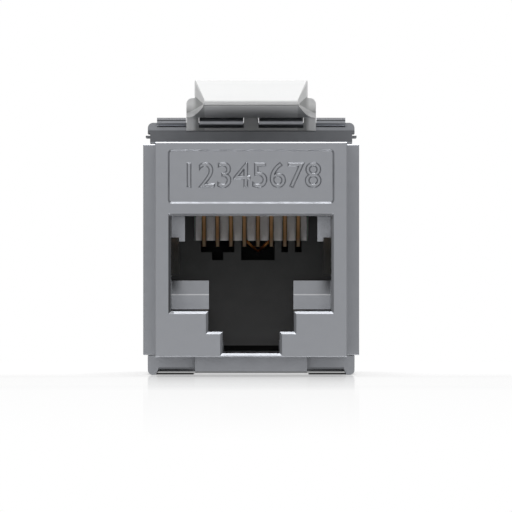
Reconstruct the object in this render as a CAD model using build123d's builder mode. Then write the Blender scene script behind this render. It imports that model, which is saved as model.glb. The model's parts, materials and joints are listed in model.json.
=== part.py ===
from build123d import *
import math
import os

os.makedirs("parts", exist_ok=True)

# Shielded keystone jack, in millimetres
# The origin is the middle of the front face. +Y runs back into the jack, +Z is up.

# Front face and neck, which stand in the panel's cut-out
face_width = 14.3
face_height = 16.0
neck_depth = 9.9
front_wall = 1.6
face_edge = 0.07
panel_slot = 1.7

# Label recess in the face
label_width = 12.4
label_height = 4.05
label_bottom = 3.41
label_depth = 0.15
label_draft = 35
label_corner = 0.3

# Plug port, from its top edge down: body, shoulder step and tab slot
port_width = 11.96
port_top = 2.5
port_height = 7.11
step_width = 6.38
step_drop = 1.51
tab_width = 4.25
tab_drop = 1.6
port_depth = 12.0
port_edge = 0.18
tab_pocket_floor = 0.7

# Plug stops cast on the port's back corners
stop_thickness = 1.0
upper_stop_width = 0.98
upper_stop_bottom = 0.61
lower_stop_top = -2.34
lower_stop_slope = 0.12
lower_stop_crease = 1.06
lower_stop_root = 0.1

# Shoulders and rear body
body_width = 16.28
shoulder_height = 15.9
shoulder_depth = 3.3
shoulder_edge = 0.07
body_depth = 24.0
body_wall = 0.9
roof_wall = 1.1
pocket_side_wall = 0.62
pocket_end_wall = 0.28

# Ears above and below that hold the hinge pins
ear_inset = 0.34
lip_overhang = 0.18
ear_setback = 0.7
web_setback = 0.3
ear_depth = 17.4
lip_height = 0.89
lip_thickness = 0.14
ear_top = 1.57
ear_corner = 0.4
fin_bottom = 0.44
fin_thickness = 0.15

# Foot plate under the body
plate_drop = 1.0
foot_drop = 1.45
foot_width = 0.6
foot_bevel = 0.2
foot_corner = 0.4
plate_edge = 0.12
foot_bar_depth = 1.2
foot_bar_lift = 0.1

# Fixed lower hook
hook_width = 8.4
hook_drop = 1.24
hook_depth = 2.2
hook_lead = 0.5
hook_toe = 0.12

# Latch: foot clipped over two lugs, limb to the nose, arm with the catch
latch_width = 8.5
clip_width = 9.76
clip_thickness = 0.65
clip_bottom = 0.97
clip_top = 3.42
clip_corner = 0.45
back_stop_rise = 0.38
window_inner = 0.55
window_outer = 3.95
window_bottom = 1.16
window_top = 1.98
lug_gap = 0.03
lug_reach = 0.25
bar_nose = 0.3
side_bar_inset = 0.05
side_bar_bottom = 1.26
side_bar_top = 1.94
side_bar_depth = 1.5
nose_depth = 1.75
nose_rise = 2.97
nose_radius = 0.22
nose_gap = 0.03
cradle_drop = 0.17
crest_rise = 4.7
crest_flat = 0.5
arm_end_thickness = 0.95
arm_lift = 0.08
limb_thickness = 0.34
limb_root = 0.9
limb_root_width = 6.6
limb_lead = 0.2
limb_sag = 0.085
ramp_bevel = 0.8
nose_flare = 0.1

# Doors and their hinge pins
door_wall = 0.85
door_gap = 0.12
knuckle_radius = 1.05
knuckle_height = 2.3
pocket_gap = 0.16
pin_radius = 0.35
pin_gap = 0.05
pin_recess = 0.1
door_height = 15.8
door_depth = 33.0
door_rear_wall = 1.2
door_seam = 0.05
door_corner = 0.5
collar_bore = 3.8
collar_wall = 1.2
collar_length = 4.0
collar_rim = 0.5
collar_rim_width = 0.8
collar_groove_count = 3
collar_groove_pitch = 1.2
collar_groove_width = 0.6
collar_groove_depth = 0.3
push_rib_width = 2.2
push_rib_height = 6.0
push_rib_depth = 1.0
grip_count = 3
grip_pitch = 2.2
grip_width = 1.0
grip_depth = 0.25
grip_height = 9.0

# Contact springs
contact_count = 8
contact_pitch = 1.016
contact_width = 0.35
contact_thickness = 0.3
contact_drop = 1.9
contact_bend_depth = 4.2
contact_bend_radius = 0.45
contact_tip_depth = 0.2
contact_tip_level = 0.35
contact_tail = 0.15
contact_bay_margin = 0.5

# Insert, comb and circuit board
insert_gap = 0.05
insert_depth = 3.5
comb_width = 8.36
comb_side_gap = 0.17
comb_bottom = 0.68
comb_top = 3.2
comb_groove_width = 0.5
comb_groove_depth = 0.5
wire_slot_half = 0.254
wire_slot_depth = 2.4
wire_slot_bottom = -0.2
deep_slot_bottom = -0.8
tongue_step = 0.47
tongue_recess = 0.15
tongue_depth = 1.0
board_thickness = 1.2
board_hole_radius = 0.33

# Block and blades that take the cable's conductors
blade_margin = 0.92
blade_row_inset = 2.7
blade_width = 2.0
blade_thickness = 0.5
blade_slit = 0.35
blade_slit_length = 3.0
blade_lead = 0.35
blade_tail_width = 0.7
blade_gap = 0.1
block_depth = 6.25
blade_tip_cover = 0.7
channel_width = 0.9
channel_depth = 3.6

# Wire manager
manager_gap = 0.2
manager_side_gap = 0.2
manager_plate = 1.8
manager_corner = 0.6
manager_notch = 1.5
divider_wall = 0.8
divider_depth = 4.3
divider_rib_gap = 0.3
divider_inset = 0.5
divider_tip = 5.0
divider_shoulder = 1.5
tooth_width = 0.7
tooth_depth = 2.7
tooth_gap = 0.2
tooth_height = 1.5

# Ground springs on the port's side walls
ground_thickness = 0.2
ground_height = 2.8
ground_middle = -0.5
ground_front = 2.8
ground_crest = 7.4
ground_end = 8.6
ground_seat_depth = 0.3
ground_crest_bulge = 0.43
ground_end_bulge = 0.26
recess_wall = 0.7
recess_margin = 0.15

# Places that follow from the sizes above
half_face = face_width / 2
half_height = face_height / 2
half_body = body_width / 2
port_bottom = port_top - port_height
step_bottom = port_bottom - step_drop
tab_bottom = step_bottom - tab_drop
stop_front = port_depth - stop_thickness
shoulder_end = neck_depth + shoulder_depth
catch_depth = neck_depth - panel_slot
hinge_x = half_body - knuckle_radius
hinge_y = shoulder_end + door_gap + knuckle_radius
rear_half = half_body - door_wall - door_gap
bay_half = rear_half - body_wall
bay_top = half_height - roof_wall
bay_bottom = -half_height + roof_wall
pocket_radius = knuckle_radius + pocket_gap
wall_start = hinge_y + rear_half - hinge_x + door_gap
web_top = half_height + lip_height
web_front = neck_depth + web_setback
ear_front = neck_depth + ear_setback
contact_row = (contact_count - 1) * contact_pitch
contact_bay_half = contact_row / 2 + contact_width / 2 + contact_bay_margin
insert_end = port_depth + insert_depth
board_front = insert_end
board_end = board_front + board_thickness
block_end = board_end + block_depth
blade_end = block_end - blade_tip_cover
manager_front = block_end + manager_gap
manager_back = manager_front + manager_plate
door_half_height = door_height / 2
collar_end = door_depth + collar_length
door_roof_front = body_depth + door_gap
pin_hole_radius = pin_radius + pin_gap
knuckle_bottom = door_half_height - knuckle_height
bay_step_height = 2 * (knuckle_bottom - door_gap - pocket_end_wall)
bay_narrow_width = 2 * (hinge_x - pocket_radius - pocket_side_wall)
ear_width = body_width - 2 * ear_inset
ear_web_width = ear_width - 2 * lip_overhang
side_bar_outer = half_face - side_bar_inset
tongue_top = tab_bottom + tongue_step
tongue_root = bay_bottom + 2 * insert_gap
ledge_width = (port_width - step_width) / 2
contact_level = bay_top - contact_drop
blade_columns = 4
blade_pitch = (2 * (bay_half - blade_margin) - blade_width) / (blade_columns - 1)
blade_row = bay_top - blade_row_inset
manager_width = 2 * (bay_half - manager_side_gap)
manager_height = 2 * (bay_top - manager_side_gap)
side_inner = half_body - door_wall
rear_inner = door_depth - door_rear_wall
divider_width = 2 * (side_inner - push_rib_width - divider_rib_gap)
divider_height = manager_height - 2 * divider_inset
ground_seat = port_width / 2 + ground_seat_depth
ground_crest_reach = port_width / 2 - ground_crest_bulge
ground_end_reach = port_width / 2 - ground_end_bulge


def at_depth(y):
    """Plane across the jack at depth y, drawn as seen from the front; -amount runs back."""
    return Plane.XZ.offset(-y)


def middle_to(low, high):
    """Middle of a span, where a rectangle that fills it is centred."""
    return (low + high) / 2


def contact_x(index):
    """Place of a contact spring across the port."""
    return (index - (contact_count - 1) / 2) * contact_pitch


# Front housing: neck, shoulders, ears, foot plate and hook in one casting
with BuildPart() as front_housing:
    with BuildSketch(at_depth(0)):
        Rectangle(face_width, face_height)
    extrude(amount=-neck_depth)
    chamfer(front_housing.faces().sort_by(Axis.Y)[0].edges(), length=face_edge)
    with BuildSketch(at_depth(neck_depth)):
        Rectangle(body_width, shoulder_height)
        Rectangle(face_width, face_height)
    extrude(amount=-shoulder_depth)
    shoulder_edges = front_housing.edges().filter_by(
        lambda e: abs(e.center().Y - neck_depth) < shoulder_edge and abs(e.center().X) > half_face
    )
    chamfer(shoulder_edges.filter_by(lambda e: e.center().Y < neck_depth + shoulder_edge and (
        abs(e.center().X) > half_body - shoulder_edge or abs(e.center().Z) > shoulder_height / 2 - shoulder_edge
    )), length=shoulder_edge)
    with BuildSketch(at_depth(shoulder_end)):
        Rectangle(2 * rear_half, face_height)
    extrude(amount=-(body_depth - shoulder_end))

    # Web, lip and ear plate on top, with a thin fin beside the door's knuckle
    with BuildSketch(at_depth(web_front)):
        with Locations((0, middle_to(half_height, web_top))):
            Rectangle(ear_web_width, lip_height)
        with Locations((0, web_top - lip_thickness / 2)):
            Rectangle(ear_width, lip_thickness)
        with Locations((0, half_height + fin_bottom + fin_thickness / 2)):
            Rectangle(ear_width + 2 * fin_thickness, fin_thickness)
    extrude(amount=-(ear_depth - web_front))
    with BuildSketch(at_depth(ear_front)) as ear_sketch:
        with BuildLine():
            Polyline(
                (-ear_width / 2, web_top),
                (-ear_width / 2, half_height + ear_top),
                (ear_width / 2, half_height + ear_top),
                (ear_width / 2, web_top),
                close=True,
            )
        make_face()
        fillet(ear_sketch.vertices().group_by(Axis.Y)[-1], radius=ear_corner)
    extrude(amount=-(ear_depth - ear_front))

    # Foot plate with a foot along each side
    with BuildSketch(at_depth(web_front)) as plate_sketch:
        with BuildLine():
            Polyline(
                (-ear_width / 2, -half_height),
                (-ear_width / 2, -half_height - foot_drop),
                (-ear_width / 2 + foot_width, -half_height - foot_drop),
                (-ear_width / 2 + foot_width + foot_bevel, -half_height - plate_drop),
                (ear_width / 2 - foot_width - foot_bevel, -half_height - plate_drop),
                (ear_width / 2 - foot_width, -half_height - foot_drop),
                (ear_width / 2, -half_height - foot_drop),
                (ear_width / 2, -half_height),
                close=True,
            )
        make_face()
        foot_corners = plate_sketch.vertices().filter_by(
            lambda v: abs(v.X) > ear_width / 2 - foot_width / 2 and v.Y < -half_height - plate_drop - foot_bevel / 2
        )
        fillet(foot_corners, radius=foot_corner)
    extrude(amount=-(body_depth - web_front))
    with BuildSketch(Plane.YZ):
        with BuildLine():
            Polyline(
                (web_front, -half_height - plate_drop),
                (web_front + plate_edge, -half_height - plate_drop),
                (web_front, -half_height - plate_drop + plate_edge),
                close=True,
            )
        make_face()
    extrude(amount=ear_width / 2 - foot_width - foot_bevel, both=True, mode=Mode.SUBTRACT)
    with BuildSketch(at_depth(body_depth - foot_bar_depth)):
        with Locations((0, -half_height - middle_to(plate_drop, foot_drop - foot_bar_lift))):
            Rectangle(ear_width - 2 * foot_width, foot_drop - foot_bar_lift - plate_drop)
    extrude(amount=-foot_bar_depth)

    # Fixed hook, its upright back against the panel
    with BuildSketch(Plane.YZ):
        with BuildLine():
            Polyline(
                (catch_depth - hook_depth, -half_height),
                (catch_depth - hook_depth, -half_height - hook_drop + hook_toe),
                (catch_depth - hook_depth + hook_lead, -half_height - hook_drop),
                (catch_depth, -half_height - hook_drop),
                (catch_depth, -half_height),
                close=True,
            )
        make_face()
    extrude(amount=hook_width / 2, both=True)

    # Lugs for the latch's foot and longer bars beside it, all round-nosed
    for side in (-1, 1):
        for near, far, low, high, front, back in (
            (window_inner + lug_gap, window_outer - lug_gap, window_bottom + lug_gap, window_top - lug_gap,
             neck_depth - lug_reach, ear_front + clip_thickness),
            (clip_width / 2 + lug_gap, side_bar_outer, side_bar_bottom, side_bar_top,
             neck_depth, neck_depth + side_bar_depth),
        ):
            with BuildSketch(Plane.YZ.offset(side * middle_to(near, far))) as bar_sketch:
                with Locations((middle_to(front, back), half_height + middle_to(low, high))):
                    Rectangle(back - front, high - low)
                fillet(bar_sketch.vertices().group_by(Axis.X)[0], radius=bar_nose)
            extrude(amount=(far - near) / 2, both=True)

    # Plug port in three steps of depth
    with BuildSketch(at_depth(0)) as port_sketch:
        with Locations((0, middle_to(port_bottom, port_top))):
            Rectangle(port_width, port_height)
        with Locations((0, middle_to(step_bottom, port_top))):
            Rectangle(step_width, port_top - step_bottom)
        with Locations((0, middle_to(tab_bottom, port_top))):
            Rectangle(tab_width, port_top - tab_bottom)
    extrude(amount=-stop_front, mode=Mode.SUBTRACT)
    with BuildSketch(at_depth(0)):
        offset(port_sketch.sketch, amount=port_edge, kind=Kind.INTERSECTION)
    extrude(amount=-port_edge, taper=45, mode=Mode.SUBTRACT)
    with BuildSketch(at_depth(stop_front)):
        with Locations((0, middle_to(lower_stop_top, upper_stop_bottom))):
            Rectangle(port_width, upper_stop_bottom - lower_stop_top)
        with Locations((0, middle_to(lower_stop_top, port_top))):
            Rectangle(port_width - 2 * upper_stop_width, port_top - lower_stop_top)
        with Locations((0, middle_to(step_bottom, port_top))):
            Rectangle(step_width, port_top - step_bottom)
        with Locations((0, middle_to(tab_bottom, port_top))):
            Rectangle(tab_width, port_top - tab_bottom)
    extrude(amount=-stop_thickness, mode=Mode.SUBTRACT)
    with BuildSketch(Plane.YZ):
        with BuildLine():
            Polyline(
                (stop_front, lower_stop_top),
                (stop_front + lower_stop_slope, lower_stop_top),
                (stop_front, lower_stop_top - lower_stop_crease),
                close=True,
            )
        make_face()
    extrude(amount=port_width / 2, both=True, mode=Mode.SUBTRACT)
    for side in (-1, 1):
        with BuildSketch(Plane.YZ.offset(side * (port_width - ledge_width) / 2)):
            with BuildLine():
                Polyline(
                    (stop_front, port_bottom),
                    (stop_front - lower_stop_root, port_bottom),
                    (stop_front, port_bottom + lower_stop_root),
                    close=True,
                )
            make_face()
        extrude(amount=ledge_width / 2, both=True)
    with BuildSketch(at_depth(front_wall)):
        with Locations((0, middle_to(-half_height + tab_pocket_floor, port_bottom))):
            Rectangle(step_width, port_bottom + half_height - tab_pocket_floor)
    extrude(amount=-(port_depth - front_wall), mode=Mode.SUBTRACT)

    # Bay over the port for the contact springs, and recesses for the ground springs
    with BuildSketch(at_depth(front_wall)):
        with Locations((0, middle_to(port_top, bay_top))):
            Rectangle(2 * contact_bay_half, bay_top - port_top)
    extrude(amount=-(port_depth - front_wall), mode=Mode.SUBTRACT)
    with BuildSketch(Plane.XY.offset(ground_middle)):
        with Locations((0, middle_to(ground_front, ground_end))):
            Rectangle(face_width - 2 * recess_wall, ground_end - ground_front + 2 * recess_margin)
    extrude(amount=ground_height / 2 + recess_margin, both=True, mode=Mode.SUBTRACT)

    # Rear bay: cross-shaped beside the hinge pockets, full width behind them
    with BuildSketch(at_depth(port_depth)):
        Rectangle(2 * bay_half, bay_step_height)
        with Locations((0, middle_to(bay_bottom, bay_top))):
            Rectangle(bay_narrow_width, bay_top - bay_bottom)
    extrude(amount=-(body_depth - port_depth), mode=Mode.SUBTRACT)
    with BuildSketch(at_depth(board_front)):
        with Locations((0, middle_to(bay_bottom, bay_top))):
            Rectangle(2 * bay_half, bay_top - bay_bottom)
    extrude(amount=-(body_depth - board_front), mode=Mode.SUBTRACT)

    with BuildSketch(at_depth(port_depth)):
        with Locations((0, middle_to(tab_bottom, step_bottom))):
            Rectangle(tab_width, step_bottom - tab_bottom)
    extrude(amount=-tongue_depth, mode=Mode.SUBTRACT)

    # Hinge pockets and pin holes
    for level in (knuckle_bottom - door_gap, -half_height):
        with BuildSketch(Plane.XY.offset(level)):
            with Locations((-hinge_x, hinge_y), (hinge_x, hinge_y)):
                Circle(pocket_radius)
        extrude(amount=half_height - knuckle_bottom + door_gap, mode=Mode.SUBTRACT)
    with BuildSketch(Plane.XY.offset(-half_height - foot_drop)):
        with Locations((-hinge_x, hinge_y), (hinge_x, hinge_y)):
            Circle(pin_radius)
    extrude(amount=face_height + foot_drop + ear_top, mode=Mode.SUBTRACT)

    # Label recess
    with BuildSketch(at_depth(0)):
        with Locations((0, label_bottom + label_height / 2)):
            RectangleRounded(label_width, label_height, label_corner)
    extrude(amount=-label_depth, taper=label_draft, mode=Mode.SUBTRACT)
front_housing.part.label = "front_housing"
export_step(front_housing.part, "parts/front_housing.step")

# Latch foot and limb: a windowed plate over the lugs, with a limb forward to the nose
nose_y = nose_depth
nose_z = half_height + nose_rise
seat_radius = nose_radius + nose_gap
clip_back = neck_depth + clip_thickness
nose_half = latch_width / 2 - ramp_bevel + nose_flare
with BuildPart() as latch_clip:
    with BuildSketch(at_depth(neck_depth)) as clip_sketch:
        with Locations((0, half_height + middle_to(clip_bottom, clip_top))):
            Rectangle(clip_width, clip_top - clip_bottom)
        fillet(clip_sketch.vertices().group_by(Axis.Y)[-1], radius=clip_corner)
        with Locations((0, half_height + clip_top + back_stop_rise / 2)):
            Rectangle(latch_width, back_stop_rise)
        for side in (-1, 1):
            with Locations((side * middle_to(window_inner, window_outer),
                            half_height + middle_to(window_bottom, window_top))):
                Rectangle(window_outer - window_inner, window_top - window_bottom, mode=Mode.SUBTRACT)
    extrude(amount=-clip_thickness)
    with BuildSketch(Plane.YZ):
        with BuildLine():
            Polyline(
                (clip_back, half_height + window_top),
                (clip_back, half_height + window_top + limb_thickness),
                (catch_depth + crest_flat, half_height + window_top + limb_thickness),
                (nose_y + seat_radius, nose_z - cradle_drop),
                (nose_y - limb_lead, nose_z - seat_radius),
            )
            ThreePointArc(
                (nose_y - limb_lead, nose_z - seat_radius),
                (middle_to(nose_y, neck_depth), half_height + window_top + limb_sag),
                (clip_back, half_height + window_top),
            )
        make_face()
        with Locations((nose_y, nose_z)):
            Circle(seat_radius, mode=Mode.SUBTRACT)
    extrude(amount=clip_width / 2, both=True)
    for side in (-1, 1):
        with BuildSketch(Plane.XY.offset(half_height)):
            with BuildLine():
                Polyline(
                    (side * nose_half, nose_y - nose_radius),
                    (side * clip_width / 2, neck_depth),
                    (side * clip_width, neck_depth),
                    (side * clip_width, nose_y - nose_radius),
                    close=True,
                )
            make_face()
        extrude(amount=crest_rise, mode=Mode.SUBTRACT)
    with BuildSketch(Plane.YZ):
        with BuildLine():
            Polyline(
                (neck_depth, half_height + window_top + limb_thickness),
                (neck_depth, half_height + window_top + limb_root),
                (catch_depth + crest_flat, half_height + window_top + limb_thickness),
                close=True,
            )
        make_face()
    extrude(amount=limb_root_width / 2, both=True)
latch_clip.part.label = "latch_clip"
export_step(latch_clip.part, "parts/latch_clip.step")

# Latch arm: round nose on the hinge line, ramp up to the catch, bevelled at its sides
crest_z = half_height + crest_rise
with BuildPart() as latch:
    with BuildSketch(Plane.YZ):
        with Locations((nose_y, nose_z)):
            Circle(nose_radius)
        with BuildLine():
            Polyline(
                (nose_y, nose_z + nose_radius),
                (catch_depth - crest_flat, crest_z),
                (catch_depth, crest_z),
                (catch_depth, crest_z - arm_end_thickness),
                (nose_y + nose_radius, nose_z - arm_lift),
                (nose_y, nose_z),
                close=True,
            )
        make_face()
    extrude(amount=latch_width / 2, both=True)
    for side in (-1, 1):
        crest_corner = Vector(side * latch_width / 2, catch_depth, crest_z)
        nose_top = Vector(side * (latch_width / 2 - ramp_bevel), nose_y - nose_radius, nose_z + nose_radius)
        nose_side = Vector(side * nose_half, nose_y - nose_radius, nose_z - nose_radius)
        outward = (nose_top - crest_corner).cross(nose_side - crest_corner) * side
        split(bisect_by=Plane(origin=crest_corner, z_dir=outward), keep=Keep.BOTTOM)
latch.part.label = "latch"
export_step(latch.part, "parts/latch.step")

# Insert: black block that closes the port at the back, with wire slots under the comb
with BuildPart() as jack_insert:
    with BuildSketch(at_depth(port_depth)):
        Rectangle(2 * (bay_half - insert_gap), bay_step_height - 2 * insert_gap)
        with Locations((0, middle_to(bay_bottom, bay_top))):
            Rectangle(bay_narrow_width - 2 * insert_gap, bay_top - bay_bottom - 2 * insert_gap)
        with Locations((0, middle_to(comb_bottom, bay_top - body_wall))):
            Rectangle(comb_width + 2 * comb_side_gap, bay_top - body_wall - comb_bottom, mode=Mode.SUBTRACT)
    extrude(amount=-insert_depth)
    for front, low in ((0, tongue_top), (tongue_recess, tab_bottom + insert_gap)):
        with BuildSketch(at_depth(port_depth + front)):
            with Locations((0, middle_to(low, tongue_root))):
                Rectangle(tab_width - 2 * insert_gap, tongue_root - low)
        extrude(amount=-(tongue_depth - insert_gap - front))
    slot_spans = (
        (contact_x(0) - wire_slot_half, contact_x(2) + wire_slot_half, wire_slot_bottom),
        (contact_x(1) - wire_slot_half - comb_side_gap, contact_x(1) + wire_slot_half + comb_side_gap, deep_slot_bottom),
        (contact_x(3) - wire_slot_half, contact_x(5) + wire_slot_half, deep_slot_bottom),
        (contact_x(6) - wire_slot_half, contact_x(6) + wire_slot_half, wire_slot_bottom),
        (contact_x(7) - wire_slot_half, contact_x(7) + wire_slot_half, wire_slot_bottom),
    )
    for low_x, high_x, low_z in slot_spans:
        with BuildSketch(at_depth(port_depth)):
            with Locations((middle_to(low_x, high_x), middle_to(low_z, comb_bottom))):
                Rectangle(high_x - low_x, comb_bottom - low_z)
        extrude(amount=-wire_slot_depth, mode=Mode.SUBTRACT)
jack_insert.part.label = "jack_insert"
export_step(jack_insert.part, "parts/jack_insert.step")

# Comb: grey bar behind the contact springs, with a groove for each
with BuildPart() as contact_comb:
    with BuildSketch(at_depth(port_depth)):
        with Locations((0, middle_to(comb_bottom, comb_top))):
            Rectangle(comb_width, comb_top - comb_bottom)
    extrude(amount=-insert_depth)
    with BuildSketch(at_depth(port_depth)):
        with Locations((0, middle_to(comb_bottom, comb_top))):
            with GridLocations(contact_pitch, 0, contact_count, 1):
                Rectangle(comb_groove_width, comb_top - comb_bottom)
    extrude(amount=-comb_groove_depth, mode=Mode.SUBTRACT)
contact_comb.part.label = "contact_comb"
export_step(contact_comb.part, "parts/contact_comb.step")

# Contact springs: from the board forward over the port, then back down into it
for index in range(contact_count):
    with BuildPart() as contact:
        with BuildSketch(Plane.YZ.offset(contact_x(index) - contact_width / 2)):
            with BuildLine():
                FilletPolyline(
                    (board_end + contact_tail, contact_level),
                    (contact_bend_depth, contact_level),
                    (port_depth + contact_tip_depth, contact_tip_level),
                    radius=contact_bend_radius,
                )
            trace(line_width=contact_thickness)
        extrude(amount=contact_width)
    contact.part.label = f"contact_{index + 1}"
    export_step(contact.part, f"parts/contact_{index + 1}.step")

# Circuit board with holes for the springs' and the blades' tails
blade_places = [
    ((column - (blade_columns - 1) / 2) * blade_pitch, row * blade_row) for row in (1, -1) for column in range(blade_columns)
]
with BuildPart() as circuit_board:
    with BuildSketch(at_depth(board_front)):
        with Locations((0, middle_to(bay_bottom, bay_top))):
            Rectangle(2 * (bay_half - blade_gap), bay_top - bay_bottom - 2 * blade_gap)
        with Locations((0, contact_level)):
            with GridLocations(contact_pitch, 0, contact_count, 1):
                Circle(board_hole_radius, mode=Mode.SUBTRACT)
        with Locations(*blade_places):
            Rectangle(blade_tail_width, blade_thickness, mode=Mode.SUBTRACT)
    extrude(amount=-board_thickness)
circuit_board.part.label = "circuit_board"
export_step(circuit_board.part, "parts/circuit_board.step")

# Block around the blades, open at the rear in a channel for each conductor
with BuildPart() as idc_block:
    with BuildSketch(at_depth(board_end)):
        with Locations((0, middle_to(bay_bottom, bay_top))):
            Rectangle(2 * (bay_half - blade_gap), bay_top - bay_bottom - 2 * blade_gap)
        with Locations(*blade_places):
            Rectangle(blade_width + 2 * blade_gap, blade_thickness + 2 * blade_gap, mode=Mode.SUBTRACT)
    extrude(amount=-block_depth)
    with BuildSketch(at_depth(board_end)):
        with Locations((0, contact_level)):
            Rectangle(contact_row + blade_width, contact_thickness + 2 * board_hole_radius)
    extrude(amount=-(contact_tail + 2 * blade_gap), mode=Mode.SUBTRACT)
    for x, z in blade_places:
        with BuildSketch(at_depth(block_end - channel_depth)):
            with Locations((x, math.copysign(middle_to(abs(z) - blade_thickness, half_height), z))):
                Rectangle(channel_width, half_height - abs(z) + blade_thickness)
        extrude(amount=-channel_depth, mode=Mode.SUBTRACT)
idc_block.part.label = "idc_block"
export_step(idc_block.part, "parts/idc_block.step")

# Blades: forked plates with a tail in the board
for index, (x, z) in enumerate(blade_places):
    with BuildPart() as blade:
        with BuildSketch(Plane.XY.offset(z)):
            with BuildLine():
                Polyline(
                    (x - blade_tail_width / 2, board_front),
                    (x - blade_tail_width / 2, board_end),
                    (x - blade_width / 2, board_end),
                    (x - blade_width / 2, blade_end),
                    (x - blade_slit / 2 - blade_lead, blade_end),
                    (x - blade_slit / 2, blade_end - blade_lead),
                    (x - blade_slit / 2, blade_end - blade_slit_length),
                    (x + blade_slit / 2, blade_end - blade_slit_length),
                    (x + blade_slit / 2, blade_end - blade_lead),
                    (x + blade_slit / 2 + blade_lead, blade_end),
                    (x + blade_width / 2, blade_end),
                    (x + blade_width / 2, board_end),
                    (x + blade_tail_width / 2, board_end),
                    (x + blade_tail_width / 2, board_front),
                    close=True,
                )
            make_face()
        extrude(amount=blade_thickness / 2, both=True)
    blade.part.label = f"idc_blade_{index + 1}"
    export_step(blade.part, f"parts/idc_blade_{index + 1}.step")

# Wire manager: plate with wire notches, teeth that press the wires home, crossed divider behind
with BuildPart() as wire_manager:
    with BuildSketch(at_depth(manager_front)):
        RectangleRounded(manager_width, manager_height, manager_corner)
        for x, z in blade_places:
            with Locations((x, math.copysign(manager_height / 2 - manager_notch / 2, z))):
                Rectangle(channel_width, manager_notch, mode=Mode.SUBTRACT)
    extrude(amount=-manager_plate)
    for x, z in blade_places:
        with BuildSketch(at_depth(manager_front - tooth_depth)):
            with Locations((x, math.copysign(abs(z) + (blade_thickness + tooth_height) / 2 + tooth_gap, z))):
                Rectangle(tooth_width, tooth_height)
        extrude(amount=-tooth_depth)
    with BuildSketch(Plane.YZ):
        with BuildLine():
            Polyline(
                (manager_back, -divider_height / 2),
                (manager_back + divider_shoulder, -divider_height / 2),
                (manager_back + divider_depth, -divider_tip / 2),
                (manager_back + divider_depth, divider_tip / 2),
                (manager_back + divider_shoulder, divider_height / 2),
                (manager_back, divider_height / 2),
                close=True,
            )
        make_face()
    extrude(amount=divider_wall / 2, both=True)
    with BuildSketch(Plane.XY):
        with BuildLine():
            Polyline(
                (-divider_width / 2, manager_back),
                (-divider_width / 2, manager_back + divider_shoulder),
                (-divider_tip / 2, manager_back + divider_depth),
                (divider_tip / 2, manager_back + divider_depth),
                (divider_width / 2, manager_back + divider_shoulder),
                (divider_width / 2, manager_back),
                close=True,
            )
        make_face()
    extrude(amount=divider_wall / 2, both=True)
wire_manager.part.label = "wire_manager"
export_step(wire_manager.part, "parts/wire_manager.step")

# Right door: side wall on two knuckles, roof, floor, rear wall and half of the cable collar
with BuildPart() as right_door:
    with BuildSketch(Plane.XY):
        with BuildLine():
            Polyline(
                (half_body, hinge_y),
                (half_body, door_depth),
                (door_seam, door_depth),
                (door_seam, rear_inner),
                (side_inner, rear_inner),
                (side_inner, hinge_y),
                close=True,
            )
        make_face()
    extrude(amount=door_half_height, both=True)
    with BuildSketch(Plane.XY):
        with Locations((middle_to(side_inner, half_body), middle_to(hinge_y, wall_start))):
            Rectangle(door_wall, wall_start - hinge_y)
    extrude(amount=knuckle_bottom, both=True, mode=Mode.SUBTRACT)
    for level in (-door_half_height, bay_top):
        with BuildSketch(Plane.XY.offset(level)):
            with BuildLine():
                Polyline(
                    (door_seam, door_roof_front),
                    (door_seam, door_depth),
                    (half_body, door_depth),
                    (half_body, door_roof_front),
                    close=True,
                )
            make_face()
        extrude(amount=door_half_height - bay_top)
    rear_edges = right_door.edges().filter_by(
        lambda e: e.center().Y > door_depth - door_seam and (
            e.center().X > half_body - door_seam or abs(e.center().Z) > door_half_height - door_seam)
    )
    long_edges = right_door.edges().filter_by(Axis.Y).filter_by(
        lambda e: e.center().X > half_body - door_seam and abs(e.center().Z) > door_half_height - door_seam
    )
    fillet(rear_edges + long_edges, radius=door_corner)
    for level in (-door_half_height, knuckle_bottom):
        with BuildSketch(Plane.XY.offset(level)):
            with Locations((hinge_x, hinge_y)):
                Circle(knuckle_radius)
        extrude(amount=knuckle_height)
    with BuildSketch(Plane.XY.offset(-door_half_height)):
        with Locations((hinge_x, hinge_y)):
            Circle(pin_hole_radius)
    extrude(amount=knuckle_height, mode=Mode.SUBTRACT)
    with BuildSketch(Plane.XY.offset(knuckle_bottom)):
        with Locations((hinge_x, hinge_y)):
            Circle(pin_hole_radius)
    extrude(amount=knuckle_height, mode=Mode.SUBTRACT)
    with BuildSketch(at_depth(manager_back + door_gap)):
        with Locations((side_inner - push_rib_width / 2, 0)):
            Rectangle(push_rib_width, push_rib_height)
    extrude(amount=-push_rib_depth)
    with BuildSketch(at_depth(door_depth)) as collar_sketch:
        Circle(collar_bore + collar_wall)
        with Locations((door_seam - half_body, 0)):
            Rectangle(2 * half_body, 2 * half_body, mode=Mode.SUBTRACT)
    extrude(amount=-collar_length)
    with BuildSketch(at_depth(collar_end - collar_rim_width)):
        Circle(collar_bore + collar_wall + collar_rim)
        with Locations((door_seam - half_body, 0)):
            Rectangle(2 * half_body, 2 * half_body, mode=Mode.SUBTRACT)
    extrude(amount=-collar_rim_width)
    with BuildSketch(at_depth(rear_inner)):
        Circle(collar_bore)
    extrude(amount=-(collar_end - rear_inner), mode=Mode.SUBTRACT)
    for index in range(collar_groove_count):
        with BuildSketch(at_depth(door_depth + collar_groove_width + index * collar_groove_pitch)):
            Circle(collar_bore + collar_groove_depth)
        extrude(amount=-collar_groove_width, mode=Mode.SUBTRACT)
    with BuildSketch(Plane.YZ.offset(half_body - grip_depth)):
        with Locations((door_depth - grip_pitch * grip_count / 2 - door_wall, 0)):
            with GridLocations(grip_pitch, 0, grip_count, 1):
                SlotOverall(grip_height, grip_width, rotation=90)
    extrude(amount=grip_depth, mode=Mode.SUBTRACT)
right_door.part.label = "right_door"
export_step(right_door.part, "parts/right_door.step")

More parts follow.
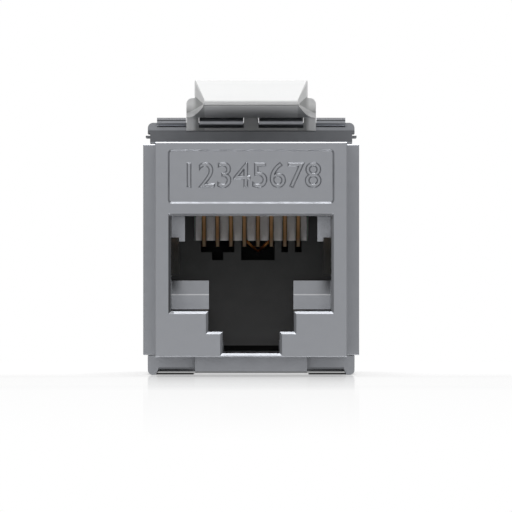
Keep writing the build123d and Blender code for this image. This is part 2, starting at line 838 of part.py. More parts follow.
with BuildPart() as left_door:
    mirror(right_door.part, about=Plane.YZ)
left_door.part.label = "left_door"
export_step(left_door.part, "parts/left_door.step")

# Hinge pins, pressed in the ears and run in the door's knuckles
upper_pin = (knuckle_bottom, half_height + ear_top - pin_recess)
lower_pin = (-half_height - plate_drop + pin_recess, -knuckle_bottom)
for side_name, side in (("left", -1), ("right", 1)):
    for level_name, (low, high) in (("upper", upper_pin), ("lower", lower_pin)):
        with BuildPart() as pin:
            with BuildSketch(Plane.XY.offset(low)):
                with Locations((side * hinge_x, hinge_y)):
                    Circle(pin_radius)
            extrude(amount=high - low)
        pin.part.label = f"{side_name}_{level_name}_pin"
        export_step(pin.part, f"parts/{side_name}_{level_name}_pin.step")

# Ground springs: strips that bulge inwards from the port's side walls
for side_name, side in (("left", -1), ("right", 1)):
    with BuildPart() as ground_spring:
        with BuildSketch(Plane.XY.offset(ground_middle - ground_height / 2)):
            with BuildLine():
                Spline(
                    (side * ground_seat, ground_front),
                    (side * ground_crest_reach, ground_crest),
                    (side * ground_end_reach, ground_end),
                )
            trace(line_width=ground_thickness)
        extrude(amount=ground_height)
    ground_spring.part.label = f"{side_name}_ground_spring"
    export_step(ground_spring.part, f"parts/{side_name}_ground_spring.step")
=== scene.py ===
import json
import math

import bmesh
import bpy
from mathutils import Matrix, Vector


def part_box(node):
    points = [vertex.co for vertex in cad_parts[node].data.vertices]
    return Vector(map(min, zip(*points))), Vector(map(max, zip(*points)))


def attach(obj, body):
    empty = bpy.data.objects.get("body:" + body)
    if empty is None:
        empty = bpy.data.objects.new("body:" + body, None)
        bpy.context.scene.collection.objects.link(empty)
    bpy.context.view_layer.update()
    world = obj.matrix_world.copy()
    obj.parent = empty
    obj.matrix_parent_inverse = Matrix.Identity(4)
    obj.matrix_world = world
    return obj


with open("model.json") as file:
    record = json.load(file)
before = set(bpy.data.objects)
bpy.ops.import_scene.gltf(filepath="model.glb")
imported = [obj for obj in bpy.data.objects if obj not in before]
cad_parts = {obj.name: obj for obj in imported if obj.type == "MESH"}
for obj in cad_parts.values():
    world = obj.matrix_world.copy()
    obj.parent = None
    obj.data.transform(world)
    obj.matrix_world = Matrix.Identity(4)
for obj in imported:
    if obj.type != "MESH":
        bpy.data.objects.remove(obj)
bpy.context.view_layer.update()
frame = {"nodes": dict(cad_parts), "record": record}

MM = 0.001
BLACK = (0.0, 0.0, 0.0)
WHITE = (1.0, 1.0, 1.0)

# The photo's frame, and the pixel on which the middle of the jack's face falls
IMAGE_PIXELS = 512
PIXELS_PER_MM = 13.44
FACE_PIXEL_X = 251.1
FACE_PIXEL_Y = 249.5
CAMERA_DISTANCE_MM = 750.0
SENSOR_MM = 36.0
FAR_CLIP = 20.0
MERGE_DISTANCE = 1e-7
NOISE_ROUGHNESS = 0.55

# Places on the casting, in millimetres
SHOULDER_FRONT_MM = 10.18
TOP_WALL_MM = 8.05
WALL_HALF_MM = 7.0
EAR_MM = 8.95
BAR_FRONT_MM = 9.3
BAR_TOP_MM = 9.66
BAR_INNER_MM = 4.9

# Places in the plug port
PORT_HALF_MM = 6.0
PORT_MIDDLE_MM = -2.6
PORT_REACH_MM = 5.15
PORT_TOP_MM = 2.5
PORT_EDGE_MM = 0.18
PORT_EDGE_REACH_MM = 0.25
LEDGE_FRONT_MM = 0.5
LEDGE_CREASE_MM = -3.4
LEDGE_STEP_MM = 1.1
CREASE_HALF_MM = 0.06
INSERT_FRONT_MM = 12.0

# Places on the latch
LATCH_FOOT_MM = 10.2
FOOT_FADE_MM = 0.6
WING_OUTER_MM = 4.1
WING_FADE_MM = 0.3
WING_FOLD_MM = 10.35
NOSE_TOP_MM = 11.19
NOSE_HALF_MM = 3.45
RAMP_BEVEL_SLOPE = 0.53

# The contacts
CONTACT_COUNT = 8
CONTACT_PITCH_MM = 1.016
CONTACT_WIDTH_MM = 0.35
CONTACT_HIGHLIGHT_MM = 0.5
CONTACT_FADE_MM = 0.45

# Widths over which a tone changes at its edge
CRISP_MM = 0.02
FIRM_MM = 0.05
BAR_EDGE_MM = 0.08
SOFT_MM = 0.1


class Wire:
    """A shader value. Arithmetic on it adds Math nodes."""

    def __init__(self, graph, socket):
        self.graph = graph
        self.socket = socket

    def _math(self, operation, other=None, clamp=False, swap=False):
        values = [self] if other is None else [self, other]
        if swap:
            values.reverse()
        settings = {"operation": operation, "use_clamp": clamp}
        return self.graph.node("ShaderNodeMath", settings, dict(enumerate(values))).out()

    def __add__(self, other):
        return self._math("ADD", other)

    __radd__ = __add__

    def __sub__(self, other):
        return self._math("SUBTRACT", other)

    def __rsub__(self, other):
        return self._math("SUBTRACT", other, swap=True)

    def __mul__(self, other):
        return self._math("MULTIPLY", other)

    __rmul__ = __mul__

    def __truediv__(self, other):
        return self._math("DIVIDE", other)

    def __rtruediv__(self, other):
        return self._math("DIVIDE", other, swap=True)

    def __abs__(self):
        return self._math("ABSOLUTE")

    def maximum(self, other):
        return self._math("MAXIMUM", other)

    def fraction(self):
        return self._math("FRACT")

    def clamped(self):
        return self._math("ADD", 0.0, clamp=True)

    def beyond(self, start, width):
        """0 up to the start, rising to 1 over the width."""
        return ((self - start) / width).clamped()

    def before(self, end, width):
        """1 up to the end, falling to 0 over the width."""
        return 1.0 - self.beyond(end, width)

    def near(self, centre, reach):
        """1 at the centre, falling to 0 at the reach on both sides."""
        return (1.0 - abs(self - centre) / reach).clamped()

    def about(self, centre, reach, edge):
        """1 within the reach on both sides of the centre, with edges that are this share of the reach."""
        return self.near(centre, reach).beyond(0.0, edge)


class Node:
    """A node just made, whose outputs are read by number or name."""

    def __init__(self, graph, node):
        self.graph = graph
        self.node = node

    def out(self, key=0):
        return Wire(self.graph, self.node.outputs[key])


class Graph:
    """A node tree in the making."""

    def __init__(self, tree):
        self.tree = tree
        tree.nodes.clear()

    def node(self, kind, settings=None, values=None):
        """Adds a node: its settings first, then the values or links of its sockets."""
        node = self.tree.nodes.new(kind)
        for key, value in (settings or {}).items():
            setattr(node, key, value)
        for key, value in (values or {}).items():
            self.put(node.inputs[key], value)
        return Node(self, node)

    def put(self, socket, value):
        """Links a wire to a socket, or sets the socket to a plain value."""
        if isinstance(value, Wire):
            self.tree.links.new(value.socket, socket)
        elif socket.type == "RGBA":
            socket.default_value = (*value, 1.0)
        else:
            socket.default_value = value

    def mix(self, factor, first, second):
        """A colour between two colours."""
        return self.node("ShaderNodeMix", {"data_type": "RGBA"}, {0: factor, 6: first, 7: second}).out(2)

    def blend(self, factor, first, second):
        """A shader between two shaders."""
        values = {0: factor, 1: first.out(), 2: second.out()}
        return self.node("ShaderNodeMixShader", values=values)

    def place(self):
        """Object coordinates, in metres."""
        return self.node("ShaderNodeTexCoord").out("Object")

    def along(self, axis):
        """One of the Object coordinates, in millimetres."""
        return self.node("ShaderNodeSeparateXYZ", values={0: self.place()}).out(axis) / MM

    def noise(self, per_mm, detail=3.0, stretch=(1.0, 1.0, 1.0)):
        """Noise from 0 to 1 with so many features to the millimetre."""
        scale = tuple(per_mm / MM * s for s in stretch)
        mapped = self.node("ShaderNodeMapping", values={"Vector": self.place(), "Scale": scale}).out()
        values = {"Vector": mapped, "Scale": 1.0, "Detail": detail, "Roughness": NOISE_ROUGHNESS}
        return self.node("ShaderNodeTexNoise", values=values).out()

    def seen_ray(self):
        """1 for the camera's rays and for those seen in a mirror or through glass."""
        path = self.node("ShaderNodeLightPath")
        mirrored = path.out("Is Glossy Ray").maximum(path.out("Is Transmission Ray"))
        return path.out("Is Camera Ray").maximum(mirrored)


class Finish(Graph):
    """A material in the making, around one Principled shader."""

    def __init__(self, name, roughness, metallic=0.0, **constants):
        self.material = bpy.data.materials.new(name)
        self.material.use_nodes = True
        super().__init__(self.material.node_tree)
        values = {"Roughness": roughness, "Metallic": metallic}
        self.shader = self.node("ShaderNodeBsdfPrincipled", values=values)
        for key, value in constants.items():
            self.feed(key.replace("_", " "), value)
        self.node("ShaderNodeOutputMaterial", values={"Surface": self.shader.out()})

    def feed(self, socket, value):
        """Links or sets one of the shader's own sockets."""
        self.put(self.shader.node.inputs[socket], value)

    def gloss(self, pattern, middle, spread):
        """A roughness that follows a pattern from 0 to 1, by so much round its middle value."""
        return pattern * spread + (middle - spread / 2)

    def tint(self, pattern, colour, darker, lighter):
        """The colour, made darker and lighter by these shares as a pattern goes from 0 to 1."""
        low = tuple(c * (1.0 - darker) for c in colour)
        high = tuple(min(1.0, c * (1.0 + lighter)) for c in colour)
        return self.mix(pattern, low, high)

    def bump(self, height, distance_mm, strength):
        """Raises the surface by height, a wire from 0 to 1, over so many millimetres."""
        values = {"Height": height, "Distance": distance_mm * MM, "Strength": strength}
        self.feed("Normal", self.node("ShaderNodeBump", values=values).out())

    def eroded_grain(self):
        """The fine grain of a moulding's surface, which is also raised a little."""
        grain = self.noise(per_mm=4.0, detail=4.0)
        self.bump(grain, distance_mm=0.01, strength=0.4)
        return grain


# How much darker or lighter the casting is in places: painted shade, a painted highlight, gloss and mottle
WALL_SHADE = 0.54
WALL_MIDDLE_SHADE = 0.16
EAR_SHADE = 0.15
BAR_SHADE = 0.75
LEDGE_SHADE = 0.04
EDGE_SHADE = 0.6
CREASE_LIGHT = 0.3
PORT_GLOSS = 0.07
SPECK_SHARE = 0.3

# Edges that are given as shares of a reach
PORT_SHARE = 0.02
EDGE_SHARE = 0.05
FRONT_FROM = 0.02
FRONT_RISE = 0.1


def corner_shade(aside, depth, height):
    """Painted shade: how much darker the wall, the ears and the bars' top edges are in the corner behind
    the latch.
    """
    middle = (1.0 - aside / WALL_HALF_MM).clamped()
    above_ear = height.beyond(EAR_MM, SOFT_MM)
    wall = (WALL_SHADE + middle * WALL_MIDDLE_SHADE) * (1.0 - above_ear) + above_ear * EAR_SHADE
    behind = depth.beyond(SHOULDER_FRONT_MM, CRISP_MM)
    on_bar = height.beyond(BAR_TOP_MM, BAR_EDGE_MM) * aside.beyond(BAR_INNER_MM, FIRM_MM)
    bar = on_bar * depth.beyond(BAR_FRONT_MM, SOFT_MM) * (1.0 - behind) * BAR_SHADE
    return behind * height.beyond(TOP_WALL_MM, SOFT_MM) * wall + bar


def port_edge_shade(across, aside, depth, height, port_height):
    """Painted shade: how much darker the port's front edge is, along its top and its left side."""
    at_front = depth.near(PORT_EDGE_MM / 2, PORT_EDGE_MM / 2).beyond(FRONT_FROM, FRONT_RISE)
    top = height.about(PORT_TOP_MM, PORT_EDGE_REACH_MM, EDGE_SHARE) * aside.before(PORT_HALF_MM, SOFT_MM)
    left = across.about(-PORT_HALF_MM, PORT_EDGE_REACH_MM, EDGE_SHARE) * port_height
    return at_front * top.maximum(left) * EDGE_SHADE


def cast_zinc(name, colour):
    """Satin plated casting: fine grain, faint cloudy tone and slightly uneven gloss, with painted shade in
    places and a painted highlight along the port ledge's crease.
    """
    finish = Finish(name, roughness=0.3, metallic=0.92)
    cloud = finish.noise(per_mm=0.12, detail=2.0)
    speck = finish.noise(per_mm=3.2, detail=2.0)
    mottle = cloud * (1.0 - SPECK_SHARE) + speck * SPECK_SHARE
    tone = finish.tint(mottle, colour, darker=0.045, lighter=0.045)

    across, depth, height = (finish.along(axis) for axis in "XYZ")
    aside = abs(across)
    port_height = height.about(PORT_MIDDLE_MM, PORT_REACH_MM, PORT_SHARE)
    port_depth = depth.beyond(LEDGE_FRONT_MM, SOFT_MM) * depth.before(INSERT_FRONT_MM, SOFT_MM)
    in_port = port_depth * port_height * aside.before(PORT_HALF_MM, SOFT_MM)
    # Painted shade on the ledge's upper part, between its crease and its top
    ledge_top = LEDGE_CREASE_MM + LEDGE_STEP_MM
    on_ledge = height.beyond(LEDGE_CREASE_MM, FIRM_MM) * height.before(ledge_top, FIRM_MM)

    # Painted shade, summed from the corner behind the latch, the ledge and the port's edge
    painted_shade = (corner_shade(aside, depth, height) + in_port * on_ledge * LEDGE_SHADE
            + port_edge_shade(across, aside, depth, height, port_height)).clamped()
    # Painted highlight along the ledge's crease
    crease_highlight = in_port * height.near(LEDGE_CREASE_MM, CREASE_HALF_MM) * CREASE_LIGHT
    finish.feed("Base Color", finish.mix(crease_highlight, finish.mix(painted_shade, tone, BLACK), WHITE))
    sheen = finish.gloss(finish.noise(per_mm=1.6), middle=0.3, spread=0.08)
    finish.feed("Roughness", sheen - in_port * PORT_GLOSS)
    finish.bump(finish.noise(per_mm=2.2, detail=2.0), distance_mm=0.006, strength=0.2)
    return finish.material


def moulded(name, colour, roughness):
    """Moulded plastic with a fine eroded grain and a soft change of gloss."""
    finish = Finish(name, roughness)
    cloud = finish.noise(per_mm=0.2, detail=2.0)
    finish.feed("Base Color", finish.tint(cloud, colour, darker=0.03, lighter=0.03))
    finish.feed("Roughness", finish.gloss(finish.noise(per_mm=0.9), middle=roughness, spread=0.12))
    finish.eroded_grain()
    return finish.material


def white_moulding(name):
    """White latch plastic, with painted shade low down, on its side facets and on its wings, and painted
    light at its wings' outer edges.
    """
    colour = (0.755, 0.76, 0.76)
    low_painted_shade = (0.54, 0.545, 0.545)
    facet_painted_shade = (0.52, 0.525, 0.525)
    wing_painted_shade = (0.36, 0.365, 0.365)
    wing_painted_light = (0.92, 0.925, 0.925)
    soft = 0.4 * MM
    finish = Finish(name, roughness=0.42, Subsurface_Weight=0.08, Subsurface_Radius=(soft, soft, soft),
                    Specular_IOR_Level=0.3)
    cloud = finish.tint(finish.noise(per_mm=0.2, detail=2.0), colour, darker=0.03, lighter=0.03)
    aside, height = abs(finish.along("X")), finish.along("Z")
    # Masks for the painted shade on the side facets and low down, and for the painted light at the wings'
    # outer edges
    bevel = (height - NOSE_TOP_MM).maximum(0.0) * RAMP_BEVEL_SLOPE + NOSE_HALF_MM
    side = (aside - bevel).beyond(0.0, SOFT_MM)
    raised = height.beyond(LATCH_FOOT_MM, FOOT_FADE_MM)
    painted_light_mask = aside.beyond(WING_OUTER_MM, WING_FADE_MM) * (1.0 - height.near(WING_FOLD_MM, FOOT_FADE_MM))
    tone = finish.mix(side, finish.mix(raised, low_painted_shade, cloud), finish.mix(raised, wing_painted_shade, facet_painted_shade))
    finish.feed("Base Color", finish.mix(painted_light_mask, tone, wing_painted_light))
    finish.feed("Roughness", finish.gloss(finish.noise(per_mm=0.9), middle=0.42, spread=0.12))
    finish.eroded_grain()
    return finish.material


def black_moulding(name):
    """Black insert: bluish above, with painted light making it greyer towards the bottom, and painted
    shade making it blacker inside its slots.
    """
    high = (0.003, 0.0042, 0.0039)
    low = (0.15, 0.15, 0.151)
    slot = (0.0005, 0.0005, 0.0008)
    grey_from_mm = 0.5
    grey_over_mm = 7.0
    grain_share = 0.05
    slot_dullness = 0.4
    finish = Finish(name, roughness=0.5, Specular_IOR_Level=0.45)
    # Painted light: the tone greys towards the bottom
    fall = ((grey_from_mm - finish.along("Z")) / grey_over_mm).clamped()
    grain = finish.eroded_grain()
    front = finish.mix((fall * fall + (grain - 0.5) * grain_share).clamped(), high, low)
    # Painted shade inside the slots
    inside = finish.along("Y").beyond(INSERT_FRONT_MM + FIRM_MM, SOFT_MM)
    finish.feed("Base Color", finish.mix(inside, front, slot))
    satin = finish.gloss(finish.noise(per_mm=0.9), middle=0.5, spread=0.1)
    finish.feed("Roughness", satin + inside * slot_dullness)
    return finish.material


def gilt_spring(name):
    """Plated bronze wire: warm brown, with painted shade at its sides standing in for a round wire's
    shading, and a painted highlight at its tip.
    """
    body = (0.95, 0.53, 0.25)
    side = (0.12, 0.05, 0.02)
    tip_highlight = (0.9, 0.68, 0.46)
    side_from, side_fade = 0.4, 0.45
    finish = Finish(name, roughness=0.345, metallic=0.45)
    # Painted highlight at the tip, below this height
    sheen = finish.along("Z").before(CONTACT_HIGHLIGHT_MM, CONTACT_FADE_MM)
    from_middle = abs((finish.along("X") / CONTACT_PITCH_MM + 1.0).fraction() - 0.5)
    share_of_half = from_middle * (2.0 * CONTACT_PITCH_MM / CONTACT_WIDTH_MM)
    streak = finish.noise(per_mm=2.5, stretch=(3.0, 0.3, 0.3))
    warm = finish.tint(streak, body, darker=0.15, lighter=0.15)
    # Painted shade towards the wire's sides
    side_painted_shade = share_of_half.beyond(side_from, side_fade)
    finish.feed("Base Color", finish.mix(side_painted_shade, finish.mix(sheen, warm, tip_highlight), side))
    finish.feed("Roughness", finish.gloss(streak, middle=0.345, spread=0.15))
    return finish.material


def drawn_metal(name, colour, roughness, stretch):
    """Sheet or wire with fine lines drawn along it."""
    finish = Finish(name, roughness, metallic=1.0)
    lines = finish.noise(per_mm=6.0, stretch=stretch)
    finish.feed("Base Color", finish.tint(lines, colour, darker=0.1, lighter=0.08))
    finish.feed("Roughness", finish.gloss(lines, middle=roughness, spread=0.16))
    finish.bump(lines, distance_mm=0.004, strength=0.5)
    return finish.material


def board_laminate(name):
    """Green solder mask over copper tracks that run up the board."""
    mask = (0.01, 0.075, 0.03)
    track_tone = (0.03, 0.16, 0.07)
    bands_per_mm = 0.35
    track_from, track_edge = 0.55, 0.08
    finish = Finish(name, roughness=0.35, Coat_Weight=0.4)
    wave = finish.node("ShaderNodeTexWave", {"wave_type": "BANDS", "bands_direction": "X"},
                       {"Vector": finish.place(), "Scale": bands_per_mm / MM, "Distortion": 5.0,
                        "Detail": 0.0}).out("Fac")
    track = wave.beyond(track_from, track_edge)
    finish.feed("Base Color", finish.mix(track, mask, track_tone))
    finish.feed("Roughness", finish.gloss(finish.noise(per_mm=1.2), middle=0.35, spread=0.1))
    finish.bump(track, distance_mm=0.03, strength=0.5)
    return finish.material


materials = {
    "zinc_shell": cast_zinc("zinc_shell", (0.226, 0.233, 0.249)),
    "zinc_door": cast_zinc("zinc_door", (0.222, 0.229, 0.241)),
    "white_latch": white_moulding("white_latch"),
    "black_insert": black_moulding("black_insert"),
    "grey_comb": moulded("grey_comb", (0.92, 0.9, 0.89), roughness=0.5),
    "gilt_contact": gilt_spring("gilt_contact"),
    "board": board_laminate("board"),
    "block_plastic": moulded("block_plastic", (0.016, 0.016, 0.017), roughness=0.42),
    "manager_plastic": moulded("manager_plastic", (0.72, 0.72, 0.7), roughness=0.4),
    "blade_metal": drawn_metal("blade_metal", (0.68, 0.66, 0.6), roughness=0.3, stretch=(1.0, 0.2, 1.0)),
    "spring_sheet": drawn_metal("spring_sheet", (0.4, 0.41, 0.39), roughness=0.4, stretch=(0.2, 0.2, 3.0)),
    "pin_steel": drawn_metal("pin_steel", (0.5, 0.51, 0.52), roughness=0.28, stretch=(1.0, 1.0, 0.2)),
}
copper_lead = drawn_metal("copper_lead", (1.0, 0.42, 0.13), roughness=0.3, stretch=(0.3, 0.3, 0.3))

slot_of = {entry["node"]: entry["material_slot"] for entry in frame["record"]["subparts"]}
for node_name, cad_object in frame["nodes"].items():
    cad_object.data.materials.clear()
    cad_object.data.materials.append(materials[slot_of[node_name]])


def placed_object(name, data):
    """A new object in the scene, at the origin."""
    placed = bpy.data.objects.new(name, data)
    bpy.context.scene.collection.objects.link(placed)
    return placed


def plain_mesh(curve, placing, tree=None, sizes=None):
    """The mesh of a curve, or of what a tree makes of it, moved to its place; its object is removed."""
    holder = placed_object(curve.name, curve)
    if tree:
        modifier = holder.modifiers.new(curve.name, "NODES")
        modifier.node_group = tree
        for identifier, value in sizes.items():
            modifier[identifier] = value
    bpy.context.view_layer.update()
    mesh = bpy.data.meshes.new_from_object(holder.evaluated_get(bpy.context.evaluated_depsgraph_get()))
    bpy.data.objects.remove(holder)
    mesh.transform(placing)
    return mesh


def joined_object(name, meshes, material, smooth=False):
    """One object of several meshes, riding on the housing."""
    joined = bmesh.new()
    for mesh in meshes:
        joined.from_mesh(mesh)
        bpy.data.meshes.remove(mesh)
    bmesh.ops.remove_doubles(joined, verts=joined.verts, dist=MERGE_DISTANCE)
    bmesh.ops.recalc_face_normals(joined, faces=joined.faces)
    for face in joined.faces:
        face.smooth = smooth
    mesh = bpy.data.meshes.new(name)
    joined.to_mesh(mesh)
    joined.free()
    mesh.materials.append(material)
    piece = placed_object(name, mesh)
    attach(piece, "housing")


# Raised contact numbers in the label recess
NUMBER_HEIGHT_MM = 1.9
NUMBER_PITCH_MM = 1.32
NUMBER_BEVEL_MM = 0.1
NUMBER_CAP_SHARE = 0.72
LABEL_MIDDLE_MM = 5.435
LABEL_DEPTH_MM = 0.15


def number_mesh(index):
    """One plain digit with sloped flanks, standing in the recess's floor and facing the front."""
    curve = bpy.data.curves.new(f"number_{index + 1}", "FONT")
    curve.body = str(index + 1)
    curve.align_x = "CENTER"
    curve.align_y = "CENTER"
    curve.size = NUMBER_HEIGHT_MM * MM / NUMBER_CAP_SHARE
    curve.bevel_depth = NUMBER_BEVEL_MM * MM
    curve.bevel_resolution = 0
    curve.offset = -NUMBER_BEVEL_MM * MM / 2
    across = (index - (CONTACT_COUNT - 1) / 2) * NUMBER_PITCH_MM
    middle = Vector((across, LABEL_DEPTH_MM, LABEL_MIDDLE_MM)) * MM
    return plain_mesh(curve, Matrix.Translation(middle) @ Matrix.Rotation(math.radians(90), 4, "X"))


number_meshes = [number_mesh(index) for index in range(CONTACT_COUNT)]
joined_object("contact_numbers", number_meshes, materials["zinc_shell"])

# Sloped rim of the label recess
LABEL_WIDTH_MM = 12.4
LABEL_HEIGHT_MM = 4.05
LABEL_BOTTOM_MM = 3.41
LABEL_CORNER_MM = 0.3
RIM_WIDTH_MM = 0.14
RIM_FRONT_MM = 0.001
CORNER_STEPS = 8


def label_outline(inset):
    """Points of the label's rounded outline, inset by so much, anticlockwise, as (x, z) in millimetres."""
    corner = LABEL_CORNER_MM - inset
    half_width = LABEL_WIDTH_MM / 2 - LABEL_CORNER_MM
    half_height = LABEL_HEIGHT_MM / 2 - LABEL_CORNER_MM
    middle = LABEL_BOTTOM_MM + LABEL_HEIGHT_MM / 2
    points = []
    for quarter, (side, level) in enumerate(((1, 1), (-1, 1), (-1, -1), (1, -1))):
        for step in range(CORNER_STEPS + 1):
            angle = math.radians(90) * (quarter + step / CORNER_STEPS)
            points.append((side * half_width + corner * math.cos(angle),
                           middle + level * half_height + corner * math.sin(angle)))
    return points


def rim_mesh():
    """A closed ring: its slope runs from the face's edge to the recess's floor."""
    loops = [
        [(x, RIM_FRONT_MM, z) for x, z in label_outline(0.0)],
        [(x, LABEL_DEPTH_MM, z) for x, z in label_outline(RIM_WIDTH_MM)],
        [(x, LABEL_DEPTH_MM, z) for x, z in label_outline(0.0)],
    ]
    count = len(loops[0])
    points = [tuple(v * MM for v in point) for loop in loops for point in loop]
    faces = []
    for ring in range(len(loops)):
        here, there = ring * count, (ring + 1) % len(loops) * count
        for index in range(count):
            after = (index + 1) % count
            faces.append((here + index, here + after, there + after, there + index))
    mesh = bpy.data.meshes.new("rim")
    mesh.from_pydata(points, [], faces)
    return mesh


joined_object("label_rim", [rim_mesh()], materials["zinc_shell"])

# Leads that bend towards each other in the insert's wide slot, with one contact between them
LEAD_RADIUS_MM = 0.12
LEAD_SIDES = 12
LEAD_DEPTH_MM = INSERT_FRONT_MM + 0.1
LEAD_FROM = (0.84, 0.62)
LEAD_OVER = (0.36, 0.16)
LEAD_TO = (0.04, -0.1)
LEAD_BACK = (0.0, 0.4, 1.8)
CROSSED_CONTACT_MM = CONTACT_PITCH_MM / 2


def lead_paths():
    """The middle lines of both leads, each the other's mirror image."""
    curve = bpy.data.curves.new("lead_paths", "CURVE")
    curve.dimensions = "3D"
    for side in (-1, 1):
        line = curve.splines.new("BEZIER")
        line.bezier_points.add(len(LEAD_BACK) - 1)
        for point, (x, z), back in zip(line.bezier_points, (LEAD_FROM, LEAD_OVER, LEAD_TO), LEAD_BACK):
            point.co = Vector((CROSSED_CONTACT_MM + side * x, LEAD_DEPTH_MM + back, z)) * MM
            point.handle_left_type = point.handle_right_type = "AUTO"
    return curve


def sweep_tree(material):
    """Geometry Nodes that sweep a capped round wire along the object's own curves."""
    tree = bpy.data.node_groups.new("wire_sweep", "GeometryNodeTree")
    tree.interface.new_socket("Path", in_out="INPUT", socket_type="NodeSocketGeometry")
    radius = tree.interface.new_socket("Radius", in_out="INPUT", socket_type="NodeSocketFloat")
    tree.interface.new_socket("Wire", in_out="OUTPUT", socket_type="NodeSocketGeometry")
    graph = Graph(tree)
    given = graph.node("NodeGroupInput")
    ring = graph.node("GeometryNodeCurvePrimitiveCircle",
                      values={"Resolution": LEAD_SIDES, "Radius": given.out("Radius")})
    swept = graph.node("GeometryNodeCurveToMesh",
                       values={"Curve": given.out("Path"), "Profile Curve": ring.out(), "Fill Caps": True})
    whole = graph.node("GeometryNodeRealizeInstances", values={"Geometry": swept.out()})
    painted = graph.node("GeometryNodeSetMaterial", values={"Geometry": whole.out(), "Material": material})
    graph.node("NodeGroupOutput", values={"Wire": painted.out()})
    return tree, radius.identifier


lead_tree, radius_input = sweep_tree(copper_lead)
lead_mesh = plain_mesh(lead_paths(), Matrix.Identity(4), lead_tree, {radius_input: LEAD_RADIUS_MM * MM})
joined_object("crossed_leads", [lead_mesh], copper_lead, smooth=True)

# Floor: its reach to the sides and the front, and to the back
FLOOR_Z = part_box("front_housing")[0].z
FLOOR_REACH_MM = 800.0
FLOOR_BACK_MM = 300.0
FLOOR_TONE = 0.8

# The shaded part of the floor, round the jack
SHADED_TONE = 0.35
SHADED_GLOW = 0.7
SHADED_MIDDLE_MM = 18.0
SHADED_HALF_MM = 30.0
SHADED_FADE_MM = 50.0

# Painted shadow: the dark gap on the floor under the plates between the hook and the feet
GAP_SHADOW_TONE = 0.02
GAP_INNER_MM = 4.3
GAP_OUTER_MM = 7.25
GAP_OUTER_FADE_MM = 0.7
GAP_FRONT_MM = 11.0
GAP_BACK_MM = 20.0
GAP_EDGE_MM = 3.0
GAP_BACK_FADE_MM = 15.0

# The floor's mirror image, strong and short, then weak and long
MIRROR_BLUR = 0.05
MIRROR_BACK_MM = 40.0
NEAR_MIRROR = 0.36
NEAR_FADE_MM = 80.0
FAR_MIRROR = 0.11
FAR_FADE_MM = 260.0


def gap_shade(across, forward):
    """Painted shadow: 1 on the floor under the plates, fading out towards the back of the jack."""
    sides = abs(across)
    covered = sides.beyond(GAP_INNER_MM, SOFT_MM).maximum(forward.beyond(GAP_BACK_MM, GAP_EDGE_MM))
    lengthwise = forward.beyond(GAP_FRONT_MM, GAP_EDGE_MM) * forward.before(GAP_BACK_MM, GAP_BACK_FADE_MM)
    return covered * sides.before(GAP_OUTER_MM, GAP_OUTER_FADE_MM) * lengthwise


def mirror_share(forward):
    """How much the floor mirrors: most at the jack's front, less and less towards the camera."""
    near = (forward / NEAR_FADE_MM + 1.0).clamped() * NEAR_MIRROR
    far = (forward / FAR_FADE_MM + 1.0).clamped() * FAR_MIRROR
    return (near + far) * forward.before(0.0, MIRROR_BACK_MM)


def floor_finish():
    """White floor to the camera and in mirrors, with the jack's shadow, a painted shadow under its plates
    and a faint blurred image of it.
    """
    material = bpy.data.materials.new("studio_floor")
    material.use_nodes = True
    graph = Graph(material.node_tree)
    across, forward = graph.along("X"), graph.along("Y")
    gap_shadow = gap_shade(across, forward)
    away = abs(forward - SHADED_MIDDLE_MM).beyond(SHADED_HALF_MM, SHADED_FADE_MM)

    plain = graph.node("ShaderNodeBsdfDiffuse", values={"Color": (FLOOR_TONE,) * 3})
    shadow = graph.node("ShaderNodeBsdfDiffuse", values={"Color": (SHADED_TONE,) * 3})
    glow = graph.node("ShaderNodeEmission", values={"Strength": SHADED_GLOW})
    shaded = graph.node("ShaderNodeAddShader", values={0: shadow.out(), 1: glow.out()})
    white = graph.node("ShaderNodeEmission", values={"Strength": 1.0})
    # Painted shadow under the plates
    painted_shade = graph.node("ShaderNodeBsdfDiffuse", values={"Color": (GAP_SHADOW_TONE,) * 3})
    mirror = graph.node("ShaderNodeBsdfGlossy", values={"Roughness": MIRROR_BLUR})

    shown = graph.blend(gap_shadow, graph.blend(away, shaded, white), painted_shade)
    polished = graph.blend(mirror_share(forward) * (1.0 - gap_shadow), shown, mirror)
    chosen = graph.blend(graph.seen_ray(), plain, polished)
    graph.node("ShaderNodeOutputMaterial", values={"Surface": chosen.out()})
    return material


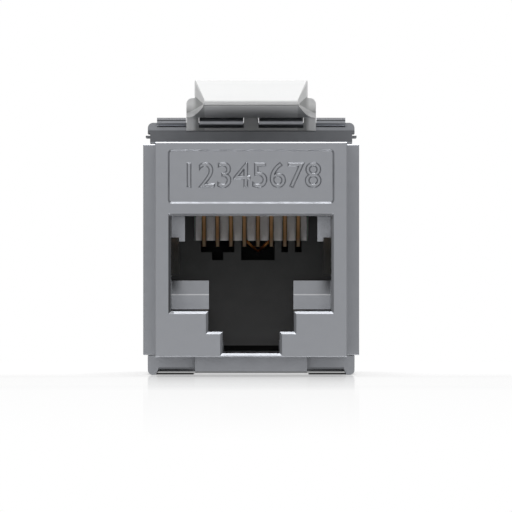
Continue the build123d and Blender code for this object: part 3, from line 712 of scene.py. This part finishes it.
floor_side, floor_back = FLOOR_REACH_MM * MM, FLOOR_BACK_MM * MM
floor_mesh = bpy.data.meshes.new("floor")
floor_mesh.from_pydata([(-floor_side, -floor_side, FLOOR_Z), (floor_side, -floor_side, FLOOR_Z),
                        (floor_side, floor_back, FLOOR_Z), (-floor_side, floor_back, FLOOR_Z)],
                       [], [(0, 1, 2, 3)])
floor_mesh.materials.append(floor_finish())
placed_object("floor", floor_mesh)

# Room: white where it is seen, dimmer as a light on the jack
ROOM_LIGHT = 0.3

world = bpy.data.worlds.new("studio")
bpy.context.scene.world = world
world.use_nodes = True
sky = Graph(world.node_tree)
strength = sky.seen_ray() * (1.0 - ROOM_LIGHT) + ROOM_LIGHT
room = sky.node("ShaderNodeBackground", values={"Color": WHITE, "Strength": strength})
sky.node("ShaderNodeOutputWorld", values={"Surface": room.out()})


def soft_lamp(name, place_mm, aim_mm, size_mm, watts):
    """A square soft lamp aimed at a point, with all places in millimetres."""
    lamp = bpy.data.lights.new(name, "AREA")
    lamp.shape = "SQUARE"
    lamp.size = size_mm * MM
    lamp.energy = watts
    holder = placed_object(name, lamp)
    holder.location = Vector(place_mm) * MM
    aim = Vector(aim_mm) * MM - holder.location
    holder.rotation_euler = aim.to_track_quat("-Z", "Y").to_euler()


soft_lamp("top_lamp", place_mm=(0, -10, 420), aim_mm=(0, 5, 0), size_mm=260, watts=1.66)
soft_lamp("front_lamp", place_mm=(-50, -890, 40), aim_mm=(0, 0, 0), size_mm=300, watts=0.24)

# Camera: straight on, from far away, so that the face's middle falls on its pixel
camera_data = bpy.data.cameras.new("camera")
camera_data.sensor_width = SENSOR_MM
camera_data.lens = SENSOR_MM * CAMERA_DISTANCE_MM / (IMAGE_PIXELS / PIXELS_PER_MM)
camera_data.clip_end = FAR_CLIP
camera = placed_object("camera", camera_data)
image_middle = IMAGE_PIXELS / 2
camera.location = Vector(((image_middle - FACE_PIXEL_X) / PIXELS_PER_MM, -CAMERA_DISTANCE_MM,
                          (FACE_PIXEL_Y - image_middle) / PIXELS_PER_MM)) * MM
camera.rotation_euler = (math.radians(90), 0, 0)
bpy.context.scene.camera = camera
bpy.context.scene.view_settings.view_transform = "Standard"
